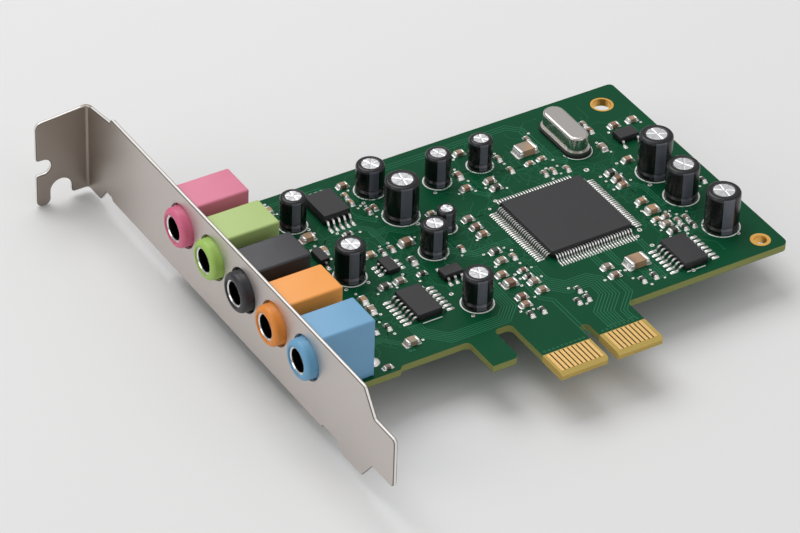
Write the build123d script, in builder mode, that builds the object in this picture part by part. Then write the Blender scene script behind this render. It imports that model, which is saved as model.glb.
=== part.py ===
import os
from math import cos, radians, sin, tan

from build123d import *

os.makedirs("parts", exist_ok=True)

# A sound card lying on its solder side, component side up.
# The origin is where the centre of the key slot meets the tips of the card-edge contacts,
# half way through the board. +X runs from the bracket along the card, and +Y runs from the
# card edge up to the bracket's screw tab.

# Circuit board
board_thickness = 1.6
board_right = 50.6
board_top = 77.2
right_edge = 13.2
left_edge = 17.7
step_drop = 0.9
step_x = -38.0
board_corner = 1.0
lower_corner = 1.6
inner_corner = 1.2
board_clearance = 0.3

# Card-edge tongues, the key slot between them and the retention tab beside them
key_width = 2.2
key_depth = 11.4
inner_tongue_width = 10.9
outer_tongue_width = 10.5
tongue_corner = 0.9
bevel_length = 1.1
bevel_depth = 0.35
retention_gap = 4.0
retention_depth = 18.4
hook_width = 6.0
hook_end = 8.9
hook_corner = 1.3

# Contact fingers
finger_pitch = 1.0
finger_width = 0.7
finger_length = 5.6
finger_start = 1.2
finger_thickness = 0.05
inner_finger_count = 10
outer_finger_count = 9

# Lined holes at the far end of the board; a land is the flat ring round a hole
upper_hole = (44.6, 71.6)
upper_hole_radius = 2.0
upper_hole_land = 0.45
lower_hole = (46.2, 16.9)
lower_hole_radius = 1.35
lower_hole_land = 0.75
lining_wall = 0.3
land_thickness = 0.06

# Bracket, folded from one sheet
sheet = 0.86
bracket_face = -56.0
bracket_high = 14.5
bracket_low = -5.5
bracket_corner = 1.2
relief_depth = 0.7
relief_slope = 0.5
lower_relief = 15.4
upper_relief = 99.4
bend_inside = 0.6
tab_face = 110.1
tab_reach = 11.8
tab_high = 12.0
tab_taper = 1.0
tab_low = -9.4
tab_corner = 1.5
leg_corner = 1.3
mouth_corner = 0.6
neck_low = -8.2
neck_high = 13.3
neck_corner = 1.0
shoulder_high = 99.8
shoulder_corner = 0.9
shoulder_low = 101.6
shoulder_slope = 2.6
slot_width = 3.6
slot_depth = 3.4
slot_height = 0.1
cutout_radius = 2.45
cutout_centre = 6.25
cutout_top = -4.0
tongue_end = -9.9
tongue_root = -2.6
tongue_high = 9.3
tongue_low = -1.9
tongue_radius = 1.0
foot_low = -6.8
foot_start = 10.2
foot_end = 1.2
foot_slope = 1.3

# Ears of the bracket, folded under the board, and their screws
ear_width = 7.0
ear_rise_start = 8.5
ear_rise_length = 3.4
ear_end = 19.0
screw_x = -41.1
screw_rows = (25.7, 73.4)
screw_radius = 1.25
screw_clearance = 0.2
screw_head_radius = 2.0
screw_head_height = 1.7
screw_dome = 0.6
screw_end = 0.5
cross_width = 0.7
cross_length = 2.5
cross_depth = 0.9

# Jacks, one moulded housing each
jack_pitch = 12.0
jack_first = 22.0
jack_colours = ("blue", "orange", "black", "green", "pink")
housing_width = 8.5
housing_depth = 11.9
housing_height = 13.3
housing_round = 0.45
axis_height = 6.3
collar_radius = 4.2
collar_reach = 2.2
collar_round = 1.0
collar_clearance = 0.45
bore_radius = 1.8
bore_back_wall = 1.0
mouth_radius = 2.4
bushing_wall = 0.45
bushing_length = 1.9
bushing_recess = 0.2
bushing_chamfer = 0.2
funnel_length = 1.0
contact_places = (3.2, 6.2, 9.2)
contact_thickness = 0.3
contact_width = 1.0
contact_arm = 1.7
contact_lip = 0.35
contact_bend = 0.6
contact_room = 0.15
tail_length = 1.5

# Electrolytic capacitors: place on the board, diameter over the sleeve, height
capacitors = [
    (-32.6, 66.8, 5.4, 7.3),
    (-13.1, 69.4, 6.0, 6.7),
    (-12.0, 59.1, 7.1, 9.0),
    (0.4, 65.3, 5.3, 7.2),
    (10.9, 65.8, 5.0, 6.8),
    (-6.4, 51.1, 4.0, 4.9),
    (-12.7, 45.6, 5.5, 7.1),
    (-31.4, 46.7, 6.2, 8.1),
    (-14.1, 27.2, 6.1, 7.5),
    (40.6, 46.5, 7.0, 9.6),
    (40.8, 37.0, 6.8, 8.0),
    (42.0, 24.6, 7.1, 8.9),
]
sleeve_wall = 0.15
sleeve_window = 0.68
can_standoff = 0.25
can_bevel = 0.5
sleeve_round = 0.65
groove_height = 1.5
groove_depth = 0.35
groove_width = 0.9
bung_height = 0.9
bung_share = 0.78
lead_radius = 0.25
lead_spacing = 0.4
lead_clearance = 0.05

# Chips with legs: the audio controller and three small-outline chips. A leg's shoulder and
# knee, where it turns down and out again, are shares of its reach.
seat_gap = 0.1
draft = 8.0
package_corner = 0.15
leg_thickness = 0.15
leg_shoulder = 0.2
leg_knee = 0.48
controller_place = (15.9, 41.5)
controller_width = 19.3
controller_height = 1.9
controller_leg_count = 28
controller_pitch = 0.65
controller_leg_width = 0.28
controller_reach = 2.6
controller_corner = 0.25
leg_pitch = 1.27
leg_width = 0.42
amplifier_place = (-24.3, 67.4)
amplifier_size = (6.3, 8.2)
amplifier_height = 2.4
amplifier_leg_count = 5
amplifier_reach = 2.5
converter_places = ((-24.6, 32.0), (30.0, 20.3))
converter_size = (5.7, 9.1)
converter_height = 1.75
converter_leg_count = 7
converter_reach = 2.7

# Small packages: place, size, height, then legs as (side angle, offsets along the side)
small_packages = [
    ((-23.3, 45.4), (2.7, 4.6), 1.25, ((0, (-1.27, 0, 1.27)), (180, (-1.27, 0, 1.27)))),
    ((-13.9, 37.4), (4.5, 2.9), 1.6, ((270, (-1.5, 0, 1.5)), (90, (-1.2, 1.2)))),
    ((42.3, 59.4), (4.8, 3.2), 1.6, ((270, (-1.8, 1.8)), (90, (0,)))),
    ((-33.6, 54.3), (2.2, 4.2), 1.5, ((270, (0,)), (90, (0,)))),
]
small_leg_width = 0.5
small_reach = 1.5

# Crystal in its metal can, long axis along Y
crystal_place = (31.0, 64.9)
crystal_length = 13.2
crystal_width = 4.7
crystal_height = 4.4
crystal_round = 0.6
crystal_flange = 0.4
flange_thickness = 0.45
spacer_height = 0.6
spacer_rim = 0.25
crystal_lead_pitch = 4.9

# Chip capacitors and resistors: (length, width, height, metal at each end) by size
chip_sizes = {
    "small": (1.6, 0.85, 0.6, 0.35),
    "medium": (2.0, 1.25, 0.8, 0.42),
    "large": (2.6, 1.7, 1.1, 0.55),
    "wide": (4.2, 2.9, 1.5, 0.75),
}
# Each chip capacitor: place, the way its length runs in degrees, and size
chip_capacitors = [
    (-34.6, 73.0, 90, "medium"),
    (-32.4, 61.2, 0, "large"),
    (-31.7, 56.2, 90, "medium"),
    (-33.2, 38.6, 90, "medium"),
    (-33.4, 35.2, 90, "medium"),
    (-23.7, 40.4, 0, "medium"),
    (-24.5, 50.5, 0, "medium"),
    (-19.6, 50.3, 90, "small"),
    (-16.1, 50.4, 0, "large"),
    (-17.3, 73.1, 0, "medium"),
    (-18.5, 70.0, 90, "small"),
    (-18.7, 67.5, 90, "small"),
    (-17.0, 63.3, 90, "small"),
    (-15.4, 63.8, 90, "small"),
    (-6.6, 56.5, 0, "small"),
    (-7.5, 43.6, 90, "small"),
    (-1.2, 51.1, 0, "medium"),
    (-1.2, 48.1, 0, "medium"),
    (-1.3, 45.4, 0, "medium"),
    (-2.8, 36.2, 0, "medium"),
    (0.1, 36.3, 90, "small"),
    (-5.2, 32.3, 0, "medium"),
    (-5.3, 29.0, 0, "large"),
    (-0.7, 31.6, 0, "small"),
    (-0.8, 27.4, 0, "medium"),
    (-5.6, 24.4, 0, "medium"),
    (-6.3, 21.9, 0, "medium"),
    (-0.9, 24.3, 0, "medium"),
    (-31.9, 22.6, 0, "large"),
    (-39.9, 18.4, 0, "small"),
    (9.2, 71.1, 0, "medium"),
    (5.0, 64.6, 90, "medium"),
    (4.0, 60.1, 0, "medium"),
    (9.6, 60.0, 0, "medium"),
    (15.3, 65.8, 90, "small"),
    (15.4, 61.2, 90, "small"),
    (21.5, 65.2, 0, "wide"),
    (24.1, 68.6, 90, "small"),
    (20.0, 61.2, 0, "small"),
    (23.0, 61.4, 0, "small"),
    (20.8, 56.8, 90, "small"),
    (22.8, 56.8, 90, "small"),
    (25.7, 56.0, 90, "small"),
    (37.2, 67.4, 90, "small"),
    (37.2, 64.9, 90, "small"),
    (36.1, 58.6, 90, "medium"),
    (42.4, 63.9, 0, "medium"),
    (46.8, 63.8, 0, "medium"),
    (38.1, 52.4, 0, "medium"),
    (32.7, 47.9, 0, "medium"),
    (32.4, 45.6, 0, "medium"),
    (32.6, 39.1, 0, "medium"),
    (32.7, 35.5, 0, "large"),
    (31.8, 32.6, 0, "small"),
    (34.1, 32.6, 0, "small"),
    (32.7, 30.3, 0, "medium"),
    (37.4, 30.3, 90, "small"),
    (35.4, 30.2, 90, "small"),
    (14.3, 24.2, 0, "medium"),
    (14.2, 21.2, 0, "medium"),
    (20.2, 22.5, 0, "wide"),
]
chip_resistors = [
    (-36.2, 29.3, 90, "small"),
    (-33.4, 29.1, 90, "small"),
    (-27.2, 40.3, 0, "medium"),
    (-21.7, 50.2, 90, "small"),
    (-18.1, 44.8, 90, "medium"),
    (-18.6, 40.4, 0, "small"),
    (-24.6, 58.8, 0, "small"),
    (-2.2, 39.4, 0, "medium"),
    (-0.8, 29.5, 0, "small"),
    (9.5, 57.4, 0, "medium"),
    (32.6, 50.3, 0, "medium"),
    (32.7, 27.8, 0, "medium"),
    (35.3, 27.7, 90, "small"),
    (37.3, 27.7, 90, "small"),
    (-7.0, 18.9, 90, "small"),
    (-4.3, 18.9, 90, "small"),
    (5.4, 21.0, 90, "small"),
    (3.3, 17.9, 90, "small"),
    (5.5, 17.9, 90, "small"),
    (18.2, 17.4, 90, "small"),
    (21.0, 17.4, 90, "small"),
    (47.6, 39.2, 90, "small"),
]

# Levels and edges that follow from the sizes above
board_face = board_thickness / 2
solder_face = -board_thickness / 2
board_left = bracket_face + sheet + board_clearance
step_edge = left_edge - step_drop
key_half = key_width / 2
inner_tongue_left = -key_half - inner_tongue_width
outer_tongue_right = key_half + outer_tongue_width
hook_right = inner_tongue_left - retention_gap
hook_left = hook_right - hook_width
jack_axis = board_face + axis_height
jack_rows = [jack_first + jack_pitch * number for number in range(len(jack_colours))]
housing_front = bracket_face + sheet
housing_back = housing_front + housing_depth
collar_front = bracket_face - collar_reach
bushing_radius = mouth_radius + bushing_wall
mouth_depth = bushing_recess + bushing_length
tail_level = solder_face - tail_length


def nearest(vertices, x, y):
    """The corner of a sketch that lies nearest to a point."""
    return vertices.sort_by_distance(Vector(x, y, 0))[0]


def half_length(side, size):
    """Half of a package's size, measured towards one of its sides."""
    return (size[0] if side % 180 == 0 else size[1]) / 2


def side_planes(place, size, side, offsets):
    """Upright planes across one side of a package, one for each leg, facing outwards."""
    out = Vector(cos(radians(side)), sin(radians(side)), 0)
    along = Vector(-out.Y, out.X, 0)
    start = Vector(place[0], place[1], board_face) + out * half_length(side, size)
    return [Plane(start + along * offset, x_dir=out, z_dir=along * -1) for offset in offsets]


def even_offsets(count, pitch):
    """Places along a line, evenly spaced about its middle."""
    return [(number - (count - 1) / 2) * pitch for number in range(count)]


def leg_outline(reach, height):
    """A gull-wing leg seen from the side: out of the body, down, and out along the board."""
    shoulder = reach * leg_shoulder
    knee = reach * leg_knee
    return [
        (0, height + leg_thickness / 2),
        (shoulder, height + leg_thickness / 2),
        (knee, leg_thickness),
        (reach, leg_thickness),
        (reach, 0),
        (knee - leg_thickness, 0),
        (shoulder - leg_thickness, height - leg_thickness / 2),
        (0, height - leg_thickness / 2),
    ]


def leg_height(height):
    """The level at which the legs leave a package, above the board."""
    return seat_gap + (height - seat_gap) / 2


def make_package(place, size, height, corner):
    """A moulded package with drafted sides that meet in the plane of its legs."""
    middle = leg_height(height)
    slope = tan(radians(draft))
    with BuildPart() as package:
        for end in (height, seat_gap):
            with BuildSketch(Plane.XY.offset(board_face + middle)):
                with Locations(place):
                    Rectangle(size[0], size[1])
                chamfer(vertices(), corner)
            with BuildSketch(Plane.XY.offset(board_face + end)):
                shrink = 2 * slope * abs(end - middle)
                with Locations(place):
                    Rectangle(size[0] - shrink, size[1] - shrink)
                chamfer(vertices(), corner)
            loft()
    return package


def make_legs(rows, width):
    """Gull-wing legs along one or more sides; a row is planes, reach and package height."""
    with BuildPart() as legs:
        for planes, reach, height in rows:
            with BuildSketch(*planes):
                with BuildLine():
                    Polyline(*leg_outline(reach, leg_height(height)), close=True)
                make_face()
            extrude(amount=width / 2, both=True)
    return legs


def save(piece, name):
    """Labels a piece with its name and writes it."""
    piece.part.label = name
    export_step(piece.part, f"parts/{name}.step")


# Places on the board that several pieces share
capacitor_lead_spots = [
    (x + offset, y)
    for x, y, diameter, height in capacitors
    for offset in (-diameter * lead_spacing / 2, diameter * lead_spacing / 2)
]
crystal_lead_spots = [
    (crystal_place[0], crystal_place[1] + offset)
    for offset in (-crystal_lead_pitch / 2, crystal_lead_pitch / 2)
]
contact_spots = [(housing_front + place, row) for row in jack_rows for place in contact_places]

# Circuit board: the outline runs along the card edge from the bracket to the far end
with BuildPart() as circuit_board:
    with BuildSketch(Plane.XY.offset(solder_face)):
        with BuildLine():
            Polyline(
                (board_left, board_top),
                (board_left, step_edge),
                (step_x, step_edge),
                (step_x + step_drop, left_edge),
                (hook_left, left_edge),
                (hook_left, hook_end),
                (hook_right, hook_end),
                (hook_right, retention_depth),
                (inner_tongue_left, retention_depth),
                (inner_tongue_left, 0),
                (outer_tongue_right, 0),
                (outer_tongue_right, right_edge),
                (board_right, right_edge),
                (board_right, board_top),
                close=True,
            )
        make_face()
        with Locations((0, 0)):
            Rectangle(key_width, 2 * key_depth - key_width, mode=Mode.SUBTRACT)
        with Locations((0, key_depth - key_half)):
            Circle(key_half, mode=Mode.SUBTRACT)
        rounded = (
            (board_right, board_top, board_corner),
            (board_right, right_edge, lower_corner),
            (outer_tongue_right, right_edge, inner_corner),
            (hook_left, left_edge, inner_corner),
            (hook_right, hook_end, hook_corner),
            (hook_right, retention_depth, inner_corner),
            (inner_tongue_left, retention_depth, inner_corner),
            (-key_half, 0, tongue_corner),
            (outer_tongue_right, 0, tongue_corner),
        )
        for x, y, radius in rounded:
            fillet(nearest(vertices(), x, y), radius)
        for (x, y), radius in ((upper_hole, upper_hole_radius), (lower_hole, lower_hole_radius)):
            with Locations((x, y)):
                Circle(radius + lining_wall, mode=Mode.SUBTRACT)
        with Locations(*[(screw_x, row) for row in screw_rows]):
            Circle(screw_radius + screw_clearance, mode=Mode.SUBTRACT)
        with Locations(*capacitor_lead_spots, *crystal_lead_spots):
            Circle(lead_radius + lead_clearance, mode=Mode.SUBTRACT)
        with Locations(*contact_spots):
            Rectangle(
                contact_thickness + 2 * lead_clearance,
                contact_width + 2 * lead_clearance,
                mode=Mode.SUBTRACT,
            )
    extrude(amount=board_thickness)
    for face, depth in ((board_face, -bevel_depth), (solder_face, bevel_depth)):
        with BuildSketch(Plane.YZ.offset(inner_tongue_left)):
            with BuildLine():
                Polyline((0, face), (bevel_length, face), (0, face + depth), close=True)
            make_face()
        extrude(amount=outer_tongue_right - inner_tongue_left, mode=Mode.SUBTRACT)
save(circuit_board, "circuit_board")


def make_fingers(level, thickness):
    """The row of contact fingers on one face of the tongues."""
    with BuildPart() as fingers:
        with BuildSketch(Plane.XY.offset(level)):
            middle = finger_start + finger_length / 2
            inner_middle = (inner_tongue_left - key_half) / 2
            outer_middle = (outer_tongue_right + key_half) / 2
            for centre, count in ((inner_middle, inner_finger_count), (outer_middle, outer_finger_count)):
                places = even_offsets(count, finger_pitch)
                with Locations(*[(centre + place, middle) for place in places]):
                    Rectangle(finger_width, finger_length)
        extrude(amount=thickness)
    return fingers


save(make_fingers(board_face, finger_thickness), "contact_fingers_front")
save(make_fingers(solder_face, -finger_thickness), "contact_fingers_back")


def make_lining(place, radius, land):
    """The lining of a hole: a tube through the board with a flat land on each face."""
    with BuildPart() as lining:
        with BuildSketch(Plane((place[0], place[1], 0), x_dir=(1, 0, 0), z_dir=(0, -1, 0))):
            with Locations((radius + lining_wall / 2, 0)):
                Rectangle(lining_wall, board_thickness + 2 * land_thickness)
            for side in (1, -1):
                with Locations((radius + land / 2, side * (board_face + land_thickness / 2))):
                    Rectangle(land, land_thickness)
        revolve(axis=Axis((place[0], place[1], 0), (0, 0, 1)))
    return lining


save(make_lining(upper_hole, upper_hole_radius, upper_hole_land), "upper_hole_lining")
save(make_lining(lower_hole, lower_hole_radius, lower_hole_land), "lower_hole_lining")

# Bracket: plate, folded tab and the two ears that are folded in under the board
plate_back = bracket_face + sheet
plate_end = tab_face - sheet - bend_inside
tab_edge = bracket_face - tab_reach
cutout_x = bracket_face - cutout_centre
relief_level = bracket_low + relief_depth
with BuildPart() as bracket:
    # Plate, seen from the card's side
    with BuildSketch(Plane.YZ.offset(bracket_face)):
        with BuildLine():
            Polyline(
                (plate_end, neck_low),
                (plate_end, tab_high),
                (shoulder_high, neck_high),
                (shoulder_high, bracket_high),
                (foot_end, bracket_high),
                (tongue_root, tongue_high),
                (tongue_end, tongue_high),
                (tongue_end, tongue_low),
                (tongue_root, tongue_low),
                (foot_end, foot_low),
                (foot_start - foot_slope, foot_low),
                (foot_start, relief_level),
                (lower_relief, relief_level),
                (lower_relief + relief_slope, bracket_low),
                (upper_relief - relief_slope, bracket_low),
                (upper_relief, relief_level),
                (shoulder_low, relief_level),
                (shoulder_low + shoulder_slope, neck_low),
                close=True,
            )
        make_face()
        rounded_plate = (
            (shoulder_high, bracket_high, shoulder_corner),
            (foot_end, bracket_high, bracket_corner),
            (tongue_root, tongue_high, tongue_radius),
            (tongue_end, tongue_high, tongue_radius),
            (tongue_end, tongue_low, tongue_radius),
            (tongue_root, tongue_low, tongue_radius),
            (foot_end, foot_low, bracket_corner),
            (shoulder_low + shoulder_slope, neck_low, neck_corner),
        )
        for y, z, radius in rounded_plate:
            fillet(nearest(vertices(), y, z), radius)
        with Locations(*[(row, jack_axis) for row in jack_rows]):
            Circle(collar_radius + collar_clearance, mode=Mode.SUBTRACT)
    extrude(amount=sheet)
    # Fold, a quarter of a ring
    with BuildSketch(Plane.XY.offset(neck_low)):
        with Locations((bracket_face - bend_inside, plate_end)):
            Circle(bend_inside + sheet)
            Circle(bend_inside, mode=Mode.SUBTRACT)
            Rectangle(
                bend_inside + sheet,
                bend_inside + sheet,
                align=(Align.MIN, Align.MIN),
                mode=Mode.INTERSECT,
            )
    extrude(amount=tab_high - neck_low)
    # Tab, with its open screw slot and the half-round cut-out beside it
    with BuildSketch(Plane.XZ.offset(-tab_face)):
        with BuildLine():
            Polyline(
                (bracket_face - bend_inside, tab_high),
                (tab_edge, tab_high - tab_taper),
                (tab_edge, tab_low),
                (cutout_x, tab_low),
                (cutout_x, neck_low),
                (bracket_face - bend_inside, neck_low),
                close=True,
            )
        make_face()
        with Locations((cutout_x, cutout_top - cutout_radius)):
            Circle(cutout_radius, mode=Mode.SUBTRACT)
            Rectangle(
                2 * cutout_radius,
                2 * (cutout_top - cutout_radius - tab_low),
                align=(Align.CENTER, Align.MAX),
                mode=Mode.SUBTRACT,
            )
        with Locations((tab_edge + slot_depth - slot_width / 2, slot_height)):
            Circle(slot_width / 2, mode=Mode.SUBTRACT)
            Rectangle(
                slot_depth,
                slot_width,
                align=(Align.MAX, Align.CENTER),
                mode=Mode.SUBTRACT,
            )
        rounded_tab = (
            (tab_edge, tab_high - tab_taper, tab_corner),
            (tab_edge, slot_height + slot_width / 2, mouth_corner),
            (tab_edge, slot_height - slot_width / 2, mouth_corner),
            (tab_edge, tab_low, leg_corner),
            (cutout_x - cutout_radius, tab_low, leg_corner),
            (cutout_x + cutout_radius, neck_low, mouth_corner),
        )
        for x, z, radius in rounded_tab:
            fillet(nearest(vertices(), x, z), radius)
    extrude(amount=sheet)
    # Ears
    for row in screw_rows:
        with BuildSketch(Plane.XZ.offset(-row - ear_width / 2)):
            with BuildLine():
                rise_start = plate_back + ear_rise_start
                rise_end = rise_start + ear_rise_length
                Polyline(
                    (bracket_face, bracket_low),
                    (rise_start, bracket_low),
                    (rise_end, solder_face - sheet),
                    (bracket_face + ear_end, solder_face - sheet),
                    (bracket_face + ear_end, solder_face),
                    (rise_end - sheet / 2, solder_face),
                    (rise_start - sheet / 2, bracket_low + sheet),
                    (bracket_face, bracket_low + sheet),
                    close=True,
                )
            make_face()
        extrude(amount=ear_width)
        with BuildSketch(Plane.XY.offset(solder_face)):
            with Locations((screw_x, row)):
                Circle(screw_radius)
        extrude(amount=-sheet, mode=Mode.SUBTRACT)
save(bracket, "bracket")

# Bracket screws: domed head with a cross recess, and a shank through board and ear
with BuildPart() as bracket_screws:
    for row in screw_rows:
        with BuildSketch(Plane((screw_x, row, board_face), x_dir=(1, 0, 0), z_dir=(0, -1, 0))):
            with BuildLine():
                shank_end = -board_thickness - sheet - screw_end
                Polyline(
                    (0, screw_head_height),
                    (0, shank_end),
                    (screw_radius, shank_end),
                    (screw_radius, 0),
                    (screw_head_radius, 0),
                    (screw_head_radius, screw_head_height),
                    close=True,
                )
            make_face()
            fillet(nearest(vertices(), screw_head_radius, screw_head_height), screw_dome)
        revolve(axis=Axis((screw_x, row, 0), (0, 0, 1)))
        with BuildSketch(Plane.XY.offset(board_face + screw_head_height - cross_depth)):
            with Locations((screw_x, row)):
                Rectangle(cross_length, cross_width)
                Rectangle(cross_width, cross_length)
        extrude(amount=cross_depth, mode=Mode.SUBTRACT)
save(bracket_screws, "bracket_screws")


def make_housing(row):
    """A jack housing: block on the board, collar through the bracket, seat for the bushing,
    funnel down to the bore, and a pocket under the bore for each contact."""
    bore_end = housing_back - bore_back_wall
    bore_plane = Plane.YZ.offset(collar_front)
    with BuildPart() as housing:
        with BuildSketch(Plane.YZ.offset(housing_front)):
            with Locations((row, board_face)):
                Rectangle(housing_width, housing_height, align=(Align.CENTER, Align.MIN))
        extrude(amount=housing_depth)
        back_edges = edges().group_by(Axis.X)[-1].group_by(Axis.Z)[1:]
        top_edges = edges().filter_by(Axis.X).group_by(Axis.Z)[-1]
        fillet([edge for group in back_edges for edge in group] + list(top_edges), housing_round)
        with BuildSketch(Plane.YZ.offset(housing_front)):
            with Locations((row, jack_axis)):
                Circle(collar_radius)
        extrude(amount=-(housing_front - collar_front))
        fillet(edges().group_by(Axis.X)[0], collar_round)
        with BuildSketch(bore_plane):
            with Locations((row, jack_axis)):
                Circle(bore_radius)
        extrude(amount=bore_end - collar_front, mode=Mode.SUBTRACT)
        with BuildSketch(bore_plane):
            with Locations((row, jack_axis)):
                Circle(bushing_radius)
        extrude(amount=mouth_depth, mode=Mode.SUBTRACT)
        for depth, radius in ((0, mouth_radius), (funnel_length, bore_radius)):
            with BuildSketch(bore_plane.offset(mouth_depth + depth)):
                with Locations((row, jack_axis)):
                    Circle(radius)
        loft(mode=Mode.SUBTRACT)
        for place in contact_places:
            with BuildSketch(Plane.XY.offset(board_face)):
                with Locations((housing_front + place - contact_thickness / 2 - contact_room, row)):
                    Rectangle(
                        contact_arm + contact_thickness + 2 * contact_room,
                        contact_width + 2 * contact_room,
                        align=(Align.MIN, Align.CENTER),
                    )
            extrude(amount=axis_height - bore_radius / 2, mode=Mode.SUBTRACT)
    return housing


def make_bushing(row):
    """The bright metal bushing that lines the mouth of a jack."""
    with BuildPart() as bushing:
        with BuildSketch(Plane.YZ.offset(collar_front + bushing_recess)):
            with Locations((row, jack_axis)):
                Circle(bushing_radius)
                Circle(mouth_radius, mode=Mode.SUBTRACT)
        extrude(amount=bushing_length)
        chamfer(edges().group_by(Axis.X)[0].sort_by(SortBy.RADIUS)[0], bushing_chamfer)
    return bushing


for colour, row in zip(jack_colours, jack_rows):
    save(make_housing(row), f"jack_housing_{colour}")
    save(make_bushing(row), f"jack_bushing_{colour}")

# Jack contacts: a blade through the board, and a sprung arm with a raised lip under the bore
with BuildPart() as jack_contacts:
    bore_floor = jack_axis - bore_radius
    for x, row in contact_spots:
        with BuildSketch(Plane.XZ.offset(-row)):
            left = x - contact_thickness / 2
            arm_level = bore_floor - contact_lip
            with BuildLine():
                Polyline(
                    (left, tail_level),
                    (left + contact_thickness, tail_level),
                    (left + contact_thickness, arm_level - contact_thickness),
                    (left + contact_arm * contact_bend, bore_floor - contact_thickness),
                    (left + contact_arm, arm_level),
                    (left + contact_arm * contact_bend, bore_floor),
                    (left, arm_level),
                    close=True,
                )
            make_face()
        extrude(amount=contact_width / 2, both=True)
save(jack_contacts, "jack_contacts")


def can_outline(radius, height):
    """Half of a capacitor can seen from the side, with the groove that grips its bung."""
    groove_start = groove_height - groove_width / 2
    groove_end = groove_height + groove_width / 2
    return [
        (0, height),
        (0, can_standoff),
        (radius, can_standoff),
        (radius, groove_start),
        (radius - groove_depth, groove_height),
        (radius, groove_end),
        (radius, height),
    ]


def upright(x, y):
    """An upright plane on the board's face, for a shape that is turned about a post."""
    return Plane((x, y, board_face), x_dir=(1, 0, 0), z_dir=(0, -1, 0))


def can_section(x, y, radius, height):
    """Half of a can in section, with its upper edge bevelled."""
    with BuildSketch(upright(x, y)) as section:
        with BuildLine():
            Polyline(*can_outline(radius, height), close=True)
        make_face()
        chamfer(nearest(vertices(), radius, height), can_bevel)
    return section.sketch


def sleeve_section(x, y, radius, height):
    """Half of a sleeve's outside in section, rounded where it turns in over the can."""
    with BuildSketch(upright(x, y)) as section:
        with BuildLine():
            Polyline(*can_outline(radius, height), close=True)
        make_face()
        fillet(nearest(vertices(), radius, height), sleeve_round)
    return section.sketch


def make_can(x, y, radius, height):
    """The aluminium can of a capacitor, hollowed below for its bung."""
    with BuildPart() as can:
        revolve(can_section(x, y, radius, height), axis=Axis((x, y, 0), (0, 0, 1)))
        with BuildSketch(Plane.XY.offset(board_face + can_standoff)):
            with Locations((x, y)):
                Circle(radius * bung_share)
        extrude(amount=bung_height, mode=Mode.SUBTRACT)
    return can


def make_sleeve(x, y, radius, height):
    """The shrunk sleeve over a can, turned in over its upper edge."""
    outside = radius + sleeve_wall
    post = Axis((x, y, 0), (0, 0, 1))
    with BuildPart() as sleeve:
        revolve(sleeve_section(x, y, outside, height + sleeve_wall), axis=post)
        revolve(can_section(x, y, radius, height), axis=post, mode=Mode.SUBTRACT)
        with BuildSketch(Plane.XY.offset(board_face + height / 2)):
            with Locations((x, y)):
                Circle(outside * sleeve_window)
        extrude(amount=height, mode=Mode.SUBTRACT)
    return sleeve


for number, (x, y, diameter, height) in enumerate(capacitors, 1):
    can_radius = diameter / 2 - sleeve_wall
    save(make_can(x, y, can_radius, height - sleeve_wall), f"capacitor_can_{number:02d}")
    save(make_sleeve(x, y, can_radius, height - sleeve_wall), f"capacitor_sleeve_{number:02d}")

with BuildPart() as capacitor_bungs:
    for x, y, diameter, height in capacitors:
        with BuildSketch(Plane.XY.offset(board_face + can_standoff)):
            with Locations((x, y)):
                Circle((diameter / 2 - sleeve_wall) * bung_share)
        extrude(amount=bung_height)
save(capacitor_bungs, "capacitor_bungs")


def make_leads(spots, top):
    """Round leads from under a component, through the board, to their trimmed tails."""
    with BuildPart() as leads:
        with BuildSketch(Plane.XY.offset(tail_level)):
            with Locations(*spots):
                Circle(lead_radius)
        extrude(amount=top - tail_level)
    return leads


save(make_leads(capacitor_lead_spots, board_face + can_standoff), "capacitor_leads")

# Audio controller with legs on all four sides
controller_size = (controller_width, controller_width)
controller_rows = [
    (
        side_planes(
            controller_place,
            controller_size,
            side,
            even_offsets(controller_leg_count, controller_pitch),
        ),
        controller_reach,
        controller_height,
    )
    for side in (0, 90, 180, 270)
]
save(
    make_package(controller_place, controller_size, controller_height, controller_corner),
    "controller_body",
)
save(make_legs(controller_rows, controller_leg_width), "controller_legs")

# Headphone amplifier, legs towards the card edge and away from it
amplifier_rows = [
    (
        side_planes(
            amplifier_place,
            amplifier_size,
            side,
            even_offsets(amplifier_leg_count, leg_pitch),
        ),
        amplifier_reach,
        amplifier_height,
    )
    for side in (90, 270)
]
save(
    make_package(amplifier_place, amplifier_size, amplifier_height, package_corner),
    "amplifier_body",
)
save(make_legs(amplifier_rows, leg_width), "amplifier_legs")

# Two converter chips of one kind
converter_rows = [
    (
        side_planes(
            place,
            converter_size,
            side,
            even_offsets(converter_leg_count, leg_pitch),
        ),
        converter_reach,
        converter_height,
    )
    for place in converter_places
    for side in (0, 180)
]
with BuildPart() as converter_bodies:
    for place in converter_places:
        add(make_package(place, converter_size, converter_height, package_corner).part)
save(converter_bodies, "converter_bodies")
save(make_legs(converter_rows, leg_width), "converter_legs")

# Transistors, a regulator and a diode
with BuildPart() as small_package_bodies:
    for place, size, height, sides in small_packages:
        add(make_package(place, size, height, package_corner).part)
save(small_package_bodies, "small_package_bodies")
small_rows = [
    (side_planes(place, size, side, offsets), small_reach, height)
    for place, size, height, sides in small_packages
    for side, offsets in sides
]
save(make_legs(small_rows, small_leg_width), "small_package_legs")


def stadium(length, width):
    """A round-ended outline about the crystal's place, long along Y."""
    with Locations(Location((crystal_place[0], crystal_place[1], 0), (0, 0, 90))):
        SlotOverall(length, width)


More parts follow.
